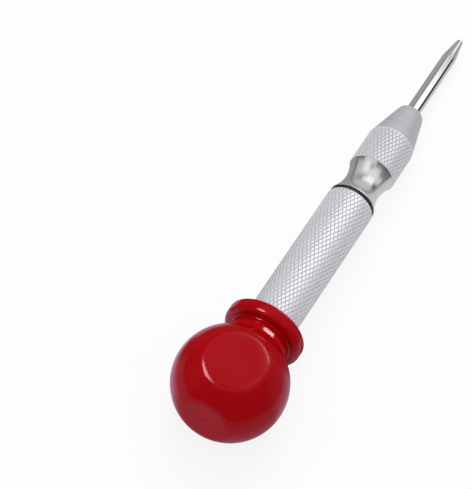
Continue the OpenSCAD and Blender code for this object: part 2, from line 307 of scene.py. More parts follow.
def tint(tree, value, dark, light, socket, start=0.3, end=0.7):
    """Drives a colour socket between two colours."""
    ramp = tree.nodes.new("ShaderNodeValToRGB")
    ramp.color_ramp.elements[0].position = start
    ramp.color_ramp.elements[0].color = (*dark, 1)
    ramp.color_ramp.elements[1].position = end
    ramp.color_ramp.elements[1].color = (*light, 1)
    tree.links.new(value, ramp.inputs["Fac"])
    tree.links.new(ramp.outputs["Color"], socket)


def relief(tree, shader, value, height, strength=1.0):
    """Fine surface relief of the given height in metres."""
    bump = tree.nodes.new("ShaderNodeBump")
    bump.inputs["Strength"].default_value = strength
    bump.inputs["Distance"].default_value = height
    tree.links.new(value, bump.inputs["Height"])
    tree.links.new(bump.outputs["Normal"], shader.inputs["Normal"])


def red_plastic():
    """Glossy moulded plastic, duller where its edges are worn."""
    made, tree, shader = material("red_gloss_plastic", (0.38, 0.0005, 0.002), 0.0, 0.13)
    shader.inputs["Specular IOR Level"].default_value = 0.30
    shader.inputs["Specular Tint"].default_value = (1.0, 0.72, 0.86, 1)
    tint(tree, grain(tree, 90, 2), (0.365, 0.0003, 0.001), (0.395, 0.0007, 0.003),
         shader.inputs["Base Color"])
    rub = tree.nodes.new("ShaderNodeAttribute")
    rub.attribute_name = "wear"
    spread(tree, rub.outputs["Fac"], GLOSS_ROUGH, WORN_ROUGH, shader.inputs["Roughness"], 0.0, 1.0)
    relief(tree, shader, grain(tree, 260, 2), 0.000008, 0.25)
    return made


def metal(name, base, rough, ring_scale, ring_height, shade=0.06, metallic=1.0):
    """Turned metal with marks round the axis, their height in metres, and a little patchy roughness."""
    made, tree, shader = material(name, base, metallic, rough)
    dark = tuple(c * (1 - shade) for c in base)
    tint(tree, turning(tree, ring_scale * SHADE_SCALE), dark, base, shader.inputs["Base Color"])
    patches = grain(tree, PATCH_SCALE, PATCH_DETAIL)
    spread(tree, patches, rough * PATCH_LOW, rough * PATCH_HIGH, shader.inputs["Roughness"])
    relief(tree, shader, turning(tree, ring_scale), ring_height)
    return made


def knurled_metal():
    """Crests painted lighter as light and valleys painted darker as shade, with the valleys rougher."""
    made, tree, shader = material("knurled_aluminium", (0.80, 0.80, 0.83), 0.70, 0.45)
    height = tree.nodes.new("ShaderNodeAttribute")
    height.attribute_name = "painted_knurl_shade"
    # Painted shade: darker colour in the knurl's valleys, lighter colour on its crests
    tint(tree, height.outputs["Fac"], (0.58, 0.58, 0.61), (0.90, 0.895, 0.945),
         shader.inputs["Base Color"], 0.0, 0.6)
    spread(tree, height.outputs["Fac"], 0.52, 0.40, shader.inputs["Roughness"], 0.0, 1.0)
    relief(tree, shader, grain(tree, 6000, 3), 0.000006, 0.5)
    return made


def black_rubber():
    """Smooth rubber with a fine, uneven skin."""
    made, tree, shader = material("black_rubber", (0.032, 0.032, 0.033), 0.0, 0.33)
    tint(tree, grain(tree, 1500), (0.026, 0.026, 0.027), (0.038, 0.038, 0.040),
         shader.inputs["Base Color"])
    spread(tree, grain(tree, 2500), 0.28, 0.38, shader.inputs["Roughness"])
    relief(tree, shader, grain(tree, 5000), 0.000006, 0.6)
    return made


def spring_wire():
    """Drawn wire with patches of dull and bright."""
    made, tree, shader = material("spring_steel", (0.36, 0.37, 0.39), 1.0, 0.3)
    tint(tree, grain(tree, 800), (0.28, 0.29, 0.31), (0.42, 0.43, 0.45),
         shader.inputs["Base Color"])
    spread(tree, grain(tree, 3000), 0.24, 0.40, shader.inputs["Roughness"])
    return made


RED = red_plastic()
KNURLED = knurled_metal()
POLISHED = metal("polished_aluminium", (0.80, 0.79, 0.82), 0.25, 2600, 0.0000006, 0.03)
SATIN = metal("satin_aluminium", (0.65, 0.645, 0.685), 0.45, 2600, 0.0000012, metallic=0.60)
TURNED = metal("turned_aluminium", (0.76, 0.76, 0.78), 0.30, 4200, 0.000010)
CHROME = metal("polished_steel", (0.80, 0.80, 0.81), 0.07, 6500, 0.0000015, 0.03)
GROUND = metal("ground_steel", (0.62, 0.62, 0.63), 0.12, 7000, 0.000003)
STEEL = metal("plain_steel", (0.52, 0.53, 0.55), 0.32, 3600, 0.000010, 0.15)
HARDENED = metal("hardened_steel", (0.36, 0.36, 0.38), 0.26, 5200, 0.000006, 0.20)
BRASS = metal("guide_brass", (0.72, 0.55, 0.25), 0.28, 4200, 0.000008, 0.12)
RUBBER = black_rubber()
WIRE = spring_wire()


# Shape tools

def arc(center, r, a0, a1, steps):
    """Points on a circle in the plane of radius and height, angles in radians."""
    turns = [a0 + (a1 - a0) * i / steps for i in range(steps + 1)]
    return [(center[0] + r * math.cos(a), center[1] + r * math.sin(a)) for a in turns]


def lathe(bm, profile, around=AROUND, slots=None):
    """Turns an open outline of (radius, height) points about the axis."""
    turns = [2 * math.pi * i / around for i in range(around)]
    rings = []
    for r, z in profile:
        if r < MERGE:
            rings.append([bm.verts.new((0, 0, z))] * around)
        else:
            rings.append([bm.verts.new((r * math.cos(t), r * math.sin(t), z)) for t in turns])
    for step, (low, high) in enumerate(zip(rings, rings[1:])):
        for i in range(around):
            j = (i + 1) % around
            corners = [low[i], low[j], high[j], high[i]]
            face = bm.faces.new(list(dict.fromkeys(corners)))
            face.material_index = slots[step] if slots else 0


def painted_shade_layer(bm):
    """The layer of painted brightness on a knurl: painted shade in its valleys, painted light on its
    crests.
    """
    return bm.verts.layers.float.get("painted_knurl_shade") or bm.verts.layers.float.new("painted_knurl_shade")


def knurl(bm, crest_r, z0, z1, run0, run1, slot=0):
    """A diamond knurl between two stations. It runs out over run0 and run1 at its ends."""
    pitch = 2 * math.pi * crest_r / KNURL_STARTS
    lead = pitch / math.tan(KNURL_ANGLE)
    step = 2 * math.pi / KNURL_STARTS
    valley_r = crest_r - KNURL_DEPTH
    part = bmesh.new()
    painted_knurl_shade = painted_shade_layer(part)
    sides = ((-1, -1), (1, -1), (1, 1), (-1, 1))
    top_r = crest_r - KNURL_CROWN
    # Rings of a diamond: half width in pitches, radius and painted brightness, low in the valley as
    # painted shade
    levels = ((0.5, valley_r, 0.0), (KNURL_FLOOR, valley_r, 0.05), (KNURL_TOP, top_r, 0.9))

    def point(a, b, r, painted_brightness):
        turn, z = (a + b) / 2 * step, (a - b) / 2 * lead
        made = part.verts.new((r * math.cos(turn), r * math.sin(turn), z))
        made[painted_knurl_shade] = painted_brightness
        return made

    for row in range(math.floor(2 * z0 / lead) - 1, math.ceil(2 * z1 / lead) + 2):
        for j in range(KNURL_STARTS):
            a, b = row + j + 0.5, j + 0.5
            rings = [[point(a + u * s, b + v * s, r, painted_brightness) for u, v in sides] for s, r, painted_brightness in levels]
            # The peak of each diamond gets the full painted light
            top = point(a, b, crest_r, 1.0)
            for k in range(4):
                n = (k + 1) % 4
                for low, high in zip(rings, rings[1:]):
                    part.faces.new((low[k], low[n], high[n], high[k]))
                part.faces.new((rings[-1][k], rings[-1][n], top))
    bmesh.ops.remove_doubles(part, verts=part.verts, dist=KNURL_WELD)
    cuts = [(z0, -1, True), (z1, 1, True)]
    cuts += [(z0 + run0 * s, 1, False) for s in RUN_OUT_CUTS]
    cuts += [(z1 - run1 * s, 1, False) for s in RUN_OUT_CUTS]
    for z, side, clear in cuts:
        parts = part.verts[:] + part.edges[:] + part.faces[:]
        bmesh.ops.bisect_plane(part, geom=parts, dist=1e-5, plane_co=(0, 0, z),
                               plane_no=(0, 0, side), clear_outer=clear)
    for v in part.verts:
        short = max((z0 + run0 - v.co.z) / run0, (v.co.z - z1 + run1) / run1, 0)
        r = math.hypot(v.co.x, v.co.y)
        fit = min(r, crest_r - KNURL_DEPTH * short) / r
        v.co.x *= fit
        v.co.y *= fit
        # Where the knurl runs out shallow, less shade is painted in its valleys
        v[painted_knurl_shade] = max(v[painted_knurl_shade], min(short, 1) * RUN_OUT_PAINTED_BRIGHTNESS)
    for face in part.faces:
        face.material_index = slot
    mesh = bpy.data.meshes.new("knurl")
    part.to_mesh(mesh)
    part.free()
    bm.from_mesh(mesh)
    bpy.data.meshes.remove(mesh)


def close_ring(bm, z, slot=0):
    """Fills the flat ring between the two open edges that lie at one station."""
    rims = [e for e in bm.edges if e.is_boundary]
    edges = [e for e in rims if all(abs(v.co.z - z) < SAME_STATION for v in e.verts)]
    made = bmesh.ops.triangle_fill(bm, use_beauty=True, edges=edges)
    for item in made["geom"]:
        if isinstance(item, bmesh.types.BMFace):
            item.material_index = slot


def piece(name, bm, materials, body=None, stands_for=None, sharp=30.0):
    """Makes the object of a shape, lays it down and puts it on its body."""
    bmesh.ops.remove_doubles(bm, verts=bm.verts, dist=MERGE)
    bmesh.ops.recalc_face_normals(bm, faces=bm.faces)
    bm.transform(LAY)
    mesh = bpy.data.meshes.new(name)
    bm.to_mesh(mesh)
    bm.free()
    for made in materials:
        mesh.materials.append(made)
    mesh.shade_smooth()
    mesh.set_sharp_from_angle(angle=math.radians(sharp))
    obj = bpy.data.objects.new(name, mesh)
    scene.collection.objects.link(obj)
    if body:
        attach(obj, body)
    if stands_for:
        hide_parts(stands_for)
    return obj


# Ball cap: a ball with flats that blend into it, a neck and a flange

def soft_max(p, q, width):
    """The larger of two values, rounded where they are close."""
    near = np.maximum(width - np.abs(p - q), 0) / width
    return np.maximum(p, q) + near * near * width / 4


def worn_side(direction):
    """1 on the side of the ball whose edges are rubbed crisp and dull, 0 on the other."""
    return np.clip(BALL_R * (direction @ WORN_TOWARD) / WORN_SOFT + WORN_SHIFT, 0, 1)


def upper_share(direction):
    """Cosine of each direction to the upper flat, which leans a little to the rear."""
    return -math.cos(UPPER_LEAN) * direction[:, 0] - math.sin(UPPER_LEAN) * direction[:, 2]


def ball_reach(direction):
    """Distance from the ball's centre to its skin along each direction."""
    upper = upper_share(direction)
    width = FLAT_FILLET + (WORN_FILLET - FLAT_FILLET) * worn_side(direction)
    low = np.full(len(direction), 0.5 * BALL_R)
    high = np.full(len(direction), 1.1 * BALL_R)
    for _ in range(HALVINGS):
        t = (low + high) / 2
        skin = soft_max(t - BALL_R, t * upper - SIDE_FLAT, width)
        skin = soft_max(skin, t * direction[:, 0] - SIDE_FLAT, width)
        skin = soft_max(skin, -t * direction[:, 2] - END_CUT, width)
        low = np.where(skin < 0, t, low)
        high = np.where(skin < 0, high, t)
    return (low + high) / 2


def edge_wear(direction, reach):
    """How dull the rim of a side flat is rubbed."""
    share = np.maximum(upper_share(direction), direction[:, 0])
    gap = np.abs(reach - BALL_R - reach * share + SIDE_FLAT)
    return np.clip(WEAR_SPREAD - gap / FLAT_FILLET, 0, 1) * worn_side(direction)


def neck_arcs():
    """Centres of the fillets at both ends of the straight neck, and of the flange's rear rounding."""
    rim = (FLANGE_R - RIM_REAR_R, FLANGE_REACH - RIM_FRONT_R - RIM_LAND)
    out = (math.cos(NECK_LEAN), math.sin(NECK_LEAN))
    off = NECK_R * out[0] + NECK_MID * out[1]
    rim_off = rim[0] * out[0] + rim[1] * out[1]
    rim_along = rim[1] * out[0] - rim[0] * out[1]
    apart = NECK_FRONT_R + RIM_REAR_R
    along_rear = math.sqrt((BALL_R + NECK_REAR_R) ** 2 - (off + NECK_REAR_R) ** 2)
    along_front = rim_along - math.sqrt(apart**2 - (off + NECK_FRONT_R - rim_off) ** 2)

    def place(away, along):
        return away * out[0] - along * out[1], away * out[1] + along * out[0]

    return place(off + NECK_REAR_R, along_rear), place(off + NECK_FRONT_R, along_front), rim


def ball_cap():
    rear, front, rim = neck_arcs()
    touch = math.atan2(rear[0], rear[1])
    polar = [(math.pi - touch) * i / BALL_RINGS for i in range(BALL_RINGS + 1)]
    turns = [2 * math.pi * i / BALL_AROUND for i in range(BALL_AROUND)]
    bm = bmesh.new()
    wear = bm.verts.layers.float.new("wear")
    rings = []
    for p in polar:
        side, rise = math.sin(p), -math.cos(p)
        out = np.array([(side * math.cos(t), side * math.sin(t), rise) for t in turns])
        reach = ball_reach(out)
        skin = out * reach[:, None] + (0, 0, BALL_Z)
        if p == 0:
            rings.append([bm.verts.new(skin[0])] * BALL_AROUND)
        else:
            rings.append([bm.verts.new(s) for s in skin])
            for vert, rub in zip(rings[-1], edge_wear(out, reach)):
                vert[wear] = rub
    for low, high in zip(rings, rings[1:]):
        for i in range(BALL_AROUND):
            j = (i + 1) % BALL_AROUND
            bm.faces.new(list(dict.fromkeys((low[i], low[j], high[j], high[i]))))
    to_rim = math.atan2(rim[1] - front[1], rim[0] - front[0])
    rim_front = (FLANGE_R - RIM_FRONT_R, FLANGE_REACH - RIM_FRONT_R)
    outline = arc(rear, NECK_REAR_R, -math.pi / 2 - touch, -math.pi + NECK_LEAN, 16)
    outline += arc(front, NECK_FRONT_R, math.pi + NECK_LEAN, to_rim, 14)
    outline += arc(rim, RIM_REAR_R, to_rim - math.pi, 0, 20)[1:]
    outline += arc(rim_front, RIM_FRONT_R, 0, math.pi / 2, 10)
    outline += [
        (CAP_SOCKET_R + SOCKET_MOUTH_CHAMFER, FLANGE_REACH),
        (CAP_SOCKET_R, FLANGE_REACH - SOCKET_MOUTH_CHAMFER),
    ]
    outline = [(r, z + BALL_Z) for r, z in outline]
    outline += [
        (CAP_SOCKET_R, CAP_REAR + SOCKET_FLOOR_CHAMFER), (CAP_SOCKET_R - SOCKET_FLOOR_CHAMFER, CAP_REAR),
        (0, CAP_REAR),
    ]
    lathe(bm, outline, BALL_AROUND)
    end = BALL_Z - END_CUT
    for size in (MOULD_LINE, MOULD_NUB):
        place = Matrix.Translation((0, 0, end)) @ Matrix.Diagonal((*size, 1))
        bmesh.ops.create_uvsphere(bm, u_segments=24, v_segments=12, radius=1, matrix=place)
    return piece("red_ball_cap", bm, [RED], "adjuster", "ball_cap")


# Barrel: knurl outside, bore, socket, relief and thread inside the cap

def barrel():
    bm = bmesh.new()
    painted_shade_layer(bm)
    rough, turned = 0, 1
    knurl(bm, BARREL_R, -BARREL_SHOW, 0, KNURL_DEPTH, KNURL_DEPTH, rough)
    outline = [
        (SOCKET_R + BORE_CHAMFER, 0), (SOCKET_R, -BORE_CHAMFER),
        (SOCKET_R, SLEEVE_REAR), (BORE_R, SLEEVE_REAR),
        (BORE_R, BARREL_REAR + BORE_CHAMFER), (BORE_R + BORE_CHAMFER, BARREL_REAR),
        (BARREL_THREAD_R - THREAD_CHAMFER, BARREL_REAR), (BARREL_THREAD_R, BARREL_REAR + THREAD_CHAMFER),
        (BARREL_THREAD_R, BARREL_SHOULDER), (RELIEF_R - RELIEF_CHAMFER, BARREL_SHOULDER),
        (RELIEF_R, BARREL_SHOULDER + RELIEF_CHAMFER), (RELIEF_R, -BARREL_SHOW),
    ]
    lathe(bm, outline, AROUND, [turned] * len(outline))
    close_ring(bm, 0, turned)
    close_ring(bm, -BARREL_SHOW, turned)
    return piece("knurled_barrel", bm, [KNURLED, TURNED], "tool_body", "barrel")


# Nose: collar, waist, knurled band and cone, with its spigot and bores

def nose():
    bm = bmesh.new()
    painted_shade_layer(bm)
    shiny, rough, satin = 0, 1, 2
    slope = (BAND_R - BEND_R) / (BEND - CONE)
    run_out = KNURL_DEPTH / slope
    cone_start = CONE + run_out
    knurl(bm, BAND_R, BAND, cone_start, BAND_RUN_IN, run_out, rough)
    deepest = (WAIST + BAND) / 2
    half = (BAND - WAIST) / 2
    deep_front = BAND_R - KNURL_DEPTH - BAND_EDGE - WAIST_R
    deep_rear = COLLAR_R - COLLAR_EDGE_R - WAIST_R
    r_front = (half**2 + deep_front**2) / (2 * deep_front)
    r_rear = (half**2 + deep_rear**2) / (2 * deep_rear)
    open_front, open_rear = math.asin(half / r_front), math.asin(half / r_rear)
    waist = arc((WAIST_R + r_front, deepest), r_front, math.pi - open_front, math.pi, 22)
    waist += arc((WAIST_R + r_rear, deepest), r_rear, math.pi, math.pi + open_rear, 22)[1:]
    polished = waist + [
        (COLLAR_R, WAIST - COLLAR_EDGE_Z), (COLLAR_R, COLLAR + COLLAR_CHAMFER),
        (COLLAR_R - COLLAR_CHAMFER, COLLAR), (RING_SEAT_R, COLLAR),
    ]
    inner = [
        (RING_SEAT_R, 0), (SPIGOT_R, 0),
        (SPIGOT_R, SPIGOT_REAR + SPIGOT_CHAMFER), (SPIGOT_R - SPIGOT_CHAMFER, SPIGOT_REAR),
        (NOSE_BORE_R + NOSE_BORE_CHAMFER, SPIGOT_REAR), (NOSE_BORE_R, SPIGOT_REAR + NOSE_BORE_CHAMFER),
        (NOSE_BORE_R, PLUNGER_STOP), (POINT_GUIDE_R, PLUNGER_STOP),
        (POINT_GUIDE_R, NOSE_FRONT - GUIDE_CHAMFER),
    ]
    lean = math.atan(slope)
    bend = (BEND_R - BEND_ARC * math.cos(lean), BEND - BEND_ARC * math.sin(lean))
    inset = BEND_ARC - FRONT_ARC
    shoulder = (bend[0] + inset * math.cos(BEND_END), bend[1] + inset * math.sin(BEND_END))
    front = [(POINT_GUIDE_R + GUIDE_CHAMFER, shoulder[1] + FRONT_ARC)]
    front += arc(shoulder, FRONT_ARC, math.pi / 2, BEND_END, 10)
    front += arc(bend, BEND_ARC, BEND_END, lean, 8)[1:]
    front += [(BAND_R - KNURL_DEPTH, cone_start)]
    outline = polished + inner + front
    slots = [shiny] * (len(polished) - 1) + [satin] * (len(outline) - len(polished))
    lathe(bm, outline, AROUND, slots)
    close_ring(bm, BAND, shiny)
    bmesh.ops.remove_doubles(bm, verts=bm.verts, dist=MERGE)
    close_ring(bm, cone_start, satin)
    return piece("turned_nose", bm, [POLISHED, KNURLED, SATIN], "tool_body", "nose")


# Rubber ring with the fine seam of its mould

def joint_ring():
    bm = bmesh.new()
    section = []
    for i in range(RING_STEPS + 1):
        a = math.pi + 2 * math.pi * i / RING_STEPS
        seam = math.exp(-((a - 2 * math.pi) / RING_SEAM_WIDTH) ** 2)
        r = RING_SECTION_R - RING_SEAM * (1 - seam)
        section.append((RING_MID_R + r * math.cos(a), RING_W / 2 + r * math.sin(a)))
    lathe(bm, section, AROUND)
    return piece("rubber_ring", bm, [RUBBER], "tool_body", "joint_ring", 60)


# Hardened point

def punch_point():
    bm = bmesh.new()
    rear = [
        (0, TAIL_REAR), (TAIL_R - TAIL_CHAMFER, TAIL_REAR), (TAIL_R, TAIL_REAR + TAIL_CHAMFER),
        (TAIL_R, HEAD_FRONT),
        (SHANK_R - SHANK_REAR_CHAMFER, HEAD_FRONT), (SHANK_R, HEAD_FRONT + SHANK_REAR_CHAMFER),
        (SHANK_R, ROD_START - SHANK_FRONT_CHAMFER), (SHANK_R - SHANK_FRONT_CHAMFER, ROD_START),
        (ROD_R, ROD_START), (ROD_R, TAPER - TAPER_EASE_Z),
    ]
    lean = math.atan2(ROD_R - TIP_R, TIP - TAPER)
    front = [(ROD_R - TAPER_EASE_R, TAPER + TAPER_EASE_Z)]
    front += arc((TIP_R - TIP_EDGE_R, TIP - TIP_EDGE_R), TIP_EDGE_R, lean, math.pi / 2, 8)
    front += [(0, TIP)]
    outline = rear + front
    polished, ground = 0, 1
    slots = [polished] * len(rear) + [ground] * (len(front) - 1)
    lathe(bm, outline, AROUND, slots)
    return piece("steel_point", bm, [CHROME, GROUND], "punch", "punch_point")


# Springs of round wire

def curl_height(t, span, turns, end_pitch):
    """Height of a wire after t turns. The first and the last turn lie close, as on a squared end."""
    if t < 1:
        return end_pitch * t
    if t > turns - 1:
        return span - end_pitch * (turns - t)
    return end_pitch + (t - 1) * (span - 2 * end_pitch) / (turns - 2)


def wire_line(r, wire, length, turns, first=0.0, last=None):
    """Centre line of a spring's wire between two counts of turns."""
    last = turns if last is None else last
    count = round((last - first) * WIRE_STEPS)
    line = []
    for i in range(count + 1):
        t = first + (last - first) * i / count
        z = curl_height(t, length - wire - 2 * SEAT_CLEAR, turns, wire + END_CURL_GAP)
        turn = 2 * math.pi * t
        line.append(Vector((r * math.cos(turn), r * math.sin(turn), wire / 2 + SEAT_CLEAR + z)))
    return line


def wind(bm, line, wire, place):
    """Sweeps a round wire with closed ends along a line."""
    rings = []
    for i, p in enumerate(line):
        along = (line[min(i + 1, len(line) - 1)] - line[max(i - 1, 0)]).normalized()
        out = Vector((p.x, p.y, 0)).normalized()
        out = (out - out.dot(along) * along).normalized()
        rise = along.cross(out)
        turns = [2 * math.pi * k / WIRE_SIDES for k in range(WIRE_SIDES)]
        ring = [p + wire / 2 * (math.cos(a) * out + math.sin(a) * rise) for a in turns]
        rings.append([bm.verts.new(place @ q) for q in ring])
    for low, high in zip(rings, rings[1:]):
        for k in range(WIRE_SIDES):
            n = (k + 1) % WIRE_SIDES
            bm.faces.new((low[k], low[n], high[n], high[k]))
    bm.faces.new(rings[0])
    bm.faces.new(rings[-1])


def spring(name, line, wire, place, body=None, stands_for=None):
    bm = bmesh.new()
    wind(bm, line, wire, place)
    return piece(name, bm, [WIRE], body, stands_for, 50)


def springs():
    main_length = HAMMER_REAR - SEAT_FRONT
    place = Matrix.Translation((0, 0, SEAT_FRONT))
    rear_line = wire_line(MAIN_COIL_R, MAIN_WIRE, main_length, MAIN_TURNS, 0, MAIN_SPLIT_TURN)
    front_line = wire_line(MAIN_COIL_R, MAIN_WIRE, main_length, MAIN_TURNS, MAIN_SPLIT_TURN)
    rear = spring("main_spring_rear", rear_line, MAIN_WIRE, place, None, "main_spring")
    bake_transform(rear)
    front = spring("main_spring_front", front_line, MAIN_WIRE, place, None, "main_spring")
    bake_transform(front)

    return_length = HEAD_REAR - GUIDE_FRONT
    line = wire_line(RETURN_COIL_R, RETURN_WIRE, return_length, RETURN_TURNS)
    place = Matrix.Translation((0, 0, GUIDE_FRONT))
    made = spring("return_spring_wire", line, RETURN_WIRE, place, "tool_body", "return_spring")
    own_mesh(made)

    line = wire_line(TRIP_COIL_R, TRIP_WIRE, TRIP_LENGTH, TRIP_TURNS)
    place = Matrix.Translation((0, TRIP_FLOOR_Y, TRIP_MID)) @ Matrix.Rotation(-math.pi / 2, 4, "X")
    made = spring("trip_spring_wire", line, TRIP_WIRE, place, "striker", "trip_spring")
    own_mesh(made)


red_cap = ball_cap()
knurled_barrel = barrel()
turned_nose = nose()
rubber_ring = joint_ring()
steel_point = punch_point()
springs()

# Inner pieces keep their solids' shape
for node, made in (
    ("adjusting_cap", TURNED), ("spring_seat", STEEL), ("release_sleeve", HARDENED), ("hammer", STEEL),
    ("trip_block", HARDENED), ("stem_guide", BRASS), ("plunger", STEEL),
):
    mesh = frame["nodes"][node].data
    mesh.materials.clear()
    mesh.materials.append(made)


# Stage: a pale floor and plain soft studio light

FLOOR_REACH = 6.0
FLOOR_COLOUR = (0.9, 0.9, 0.9, 1)
FLOOR_WHITE_SHARE = 0.86
WORLD_LEVEL = 0.48
LAMP_REACH, LAMP_SIZE = 0.9, 0.7
BOX_REACH = 0.33
WHITE, COOL = (1, 1, 1), (1, 0.97, 1.3)

# Domes of panels for mirror reflections. A panel has its turns, lifts and softness in degrees, and its
# level. It covers the panels before it. The metal's dome grows dim where it meets the floor.
DOME_STEP = 2
WALL_R, WALL_BASE = 0.35, 0.03
SKIRT_RISE, SKIRT_LEVEL = 8.0, 0.06
WALLS = (
    ((-130, -15), (6, 39), 8, 0.62),
    ((-170, -15), (39, 52), 10, 0.60),
    ((-76, -15), (39, 52), 26, 0.22),
    ((-200, 200), (51, 120), 8, 0.60),
    ((30, 100), (-2, 18), 10, 0.20),
    ((36, 100), (18, 37), 8, 0.80),
    ((48, 104), (38, 46), 6, 0.04),
    ((-66, -6), (-14, 27), 10, 0.75),
    ((-6, 32), (2, 27), 8, 0.90),
    ((-6, 44), (13, 27), 8, 0.90),
    ((-50, -8), (2, 26), 8, 1.10),
    ((-24, -10), (2, 14), 5, 0.12),
    ((-10, 38), (30, 40), 8, 1.50),
    ((-28, 45), (40, 48), 10, 1.50),
)
REAR_WALL_R, REAR_WALL_BASE = 0.34, 0.0
REAR_WALLS = (
    ((-200, 200), (-120, -18), 16, 0.35),
    ((-42, 42), (-120, -18), 16, 0.85),
)
CAP_WALL_R, CAP_WALL_BASE = 0.345, 0.06
CAP_WALLS = (
    ((-130, -50), (-52, -24), 14, 0.17),
    ((20, 90), (0, 60), 14, 0.18),
    ((20, 40), (-34, -12), 12, 0.35),
    ((-130, -70), (22, 60), 14, 0.11),
    ((-42, 8), (-12, 28), 8, 0.17),
)

# Flags on the floor for mirror reflections. For the metal: x, y and softness in metres, and the level.
# The floor grows dim from FLOOR_NEAR to FLOOR_FAR beside the tool's length.
FLAG_COUNT, FLAG_STEP = 241, 0.003
METAL_FLAG_Z, CAP_FLAG_Z = 0.0002, 0.0004
METAL_FLOOR_BASE = 1.0
METAL_FLOOR = (
    ((-0.20, -0.044), (-0.20, 0.20), 0.006, 0.42),
    ((-0.044, 0.006), (0.004, 0.20), 0.008, 0.15),
    ((0.006, 0.09), (0.004, 0.20), 0.008, 0.36),
    ((-0.044, 0.09), (-0.20, -0.004), 0.008, 0.66),
)
FLOOR_HALF_LENGTH = 0.066
FLOOR_NEAR, FLOOR_FAR, FLOOR_FAR_LEVEL = 0.045, 0.095, 0.12

# For the cap: degrees round the ball's foot, millimetres from it, softness and level
CAP_FLOOR_BASE = 0.05
CAP_FLOOR = (
    ((-200, -75), (-20, 70), 16, 0.26),
    ((-80, -38), (-20, 62), 14, 0.54),
    ((-80, -38), (62, 600), 20, 0.21),
    ((85, 200), (-20, 110), 16, 0.33),
    ((85, 125), (-20, 36), 10, 0.75),
    ((28, 90), (-20, 36), 10, 0.75),
    ((28, 58), (36, 56), 10, 0.60),
)

middle = at(0)
sight = (middle - eye).normalized()
facing = -(sight - sight.dot(AXIS) * AXIS).normalized()
beside = AXIS.cross(facing)


def toward(turn, lift):
    """Direction by degrees round the tool's axis from the camera's side, and along it to the tip."""
    around, along = math.radians(turn), math.radians(lift)
    level = math.cos(around) * facing + math.sin(around) * beside
    return math.cos(along) * level + math.sin(along) * AXIS


def plain_rays(tree):
    """1 for rays that see the background: camera, mirror and clear rays."""
    path = tree.nodes.new("ShaderNodeLightPath")
    total = path.outputs["Is Camera Ray"]
    for name in ("Is Glossy Ray", "Is Transmission Ray"):
        join = tree.nodes.new("ShaderNodeMath")
        join.operation = "MAXIMUM"
        tree.links.new(total, join.inputs[0])
        tree.links.new(path.outputs[name], join.inputs[1])
        total = join.outputs["Value"]
    return total


def floor():
    """A floor that is white to the rays that see the background, and keeps a share of its shadow."""
    mesh = bpy.data.meshes.new("floor")
    corners = [(x * FLOOR_REACH, y * FLOOR_REACH, 0) for x, y in ((-1, -1), (1, -1), (1, 1), (-1, 1))]
    mesh.from_pydata(corners, [], [(0, 1, 2, 3)])
    made = bpy.data.materials.new("pale_floor")
    made.use_nodes = True
    tree = made.node_tree
    tree.nodes.clear()
    lit = tree.nodes.new("ShaderNodeBsdfDiffuse")
    lit.inputs["Color"].default_value = FLOOR_COLOUR
    white = tree.nodes.new("ShaderNodeEmission")
    white.inputs["Color"].default_value = (1, 1, 1, 1)
    share = tree.nodes.new("ShaderNodeMath")
    share.operation = "MULTIPLY"
    share.inputs[1].default_value = FLOOR_WHITE_SHARE
    blend = tree.nodes.new("ShaderNodeMixShader")
    out = tree.nodes.new("ShaderNodeOutputMaterial")
    tree.links.new(plain_rays(tree), share.inputs[0])
    tree.links.new(share.outputs["Value"], blend.inputs["Fac"])
    tree.links.new(lit.outputs["BSDF"], blend.inputs[1])
    tree.links.new(white.outputs["Emission"], blend.inputs[2])
    tree.links.new(blend.outputs["Shader"], out.inputs["Surface"])
    mesh.materials.append(made)
    obj = bpy.data.objects.new("floor", mesh)
    scene.collection.objects.link(obj)


def world():
    """A white world, dimmer as a light than as a background."""
    made = bpy.data.worlds.new("world")
    scene.world = made
    made.use_nodes = True
    tree = made.node_tree
    shader = tree.nodes["Background"]
    shader.inputs["Color"].default_value = (1, 1, 1, 1)
    level = tree.nodes.new("ShaderNodeMapRange")
    level.inputs["To Min"].default_value = WORLD_LEVEL
    level.inputs["To Max"].default_value = 1.0
    tree.links.new(plain_rays(tree), level.inputs["Value"])
    tree.links.new(level.outputs["Result"], shader.inputs["Strength"])


def only_for(obj, pieces):
    """Lets a lamp or a glowing mesh shine on the named pieces alone."""
    group = bpy.data.collections.new(obj.name)
    for item in pieces:
        group.objects.link(item)
    obj.light_linking.receiver_collection = group


def lamp(name, turn, lift, level):
    """A large soft lamp. Mirror reflections see the panels instead of it."""
    to_light = toward(turn, lift)
    made = bpy.data.lights.new(name, "AREA")
    made.shape = "DISK"
    made.size = LAMP_SIZE
    made.energy = level * 4 * math.pi * LAMP_REACH**2
    turned = to_light.to_track_quat("Z", "Y").to_matrix().to_4x4()
    obj = bpy.data.objects.new(name, made)
    obj.matrix_world = Matrix.Translation(middle + LAMP_REACH * to_light) @ turned
    obj.visible_camera = False
    obj.visible_glossy = False
    scene.collection.objects.link(obj)


def highlight(name, receiver, turn, lift, size, level):
    """A softbox that only one piece reflects, for the bright marks on its edges and hollows."""
    to_light = toward(turn, lift)
    made = bpy.data.lights.new(name, "AREA")
    made.shape = "RECTANGLE"
    made.size, made.size_y = size
    made.energy = level * math.pi * size[0] * size[1]
    rise = (AXIS - AXIS.dot(to_light) * to_light).normalized()
    turned = Matrix((rise.cross(to_light), rise, to_light)).transposed().to_4x4()
    obj = bpy.data.objects.new(name, made)
    obj.matrix_world = Matrix.Translation(middle + BOX_REACH * to_light) @ turned
    obj.visible_camera = False
    obj.visible_diffuse = False
    scene.collection.objects.link(obj)
    only_for(obj, (receiver,))


def ease(value):
    value = min(max(value, 0.0), 1.0)
    return value * value * (3 - 2 * value)


def window(value, span, soft):
    """1 inside a span, with soft ends."""
    return ease((value - span[0]) / soft + 0.5) * ease((span[1] - value) / soft + 0.5)


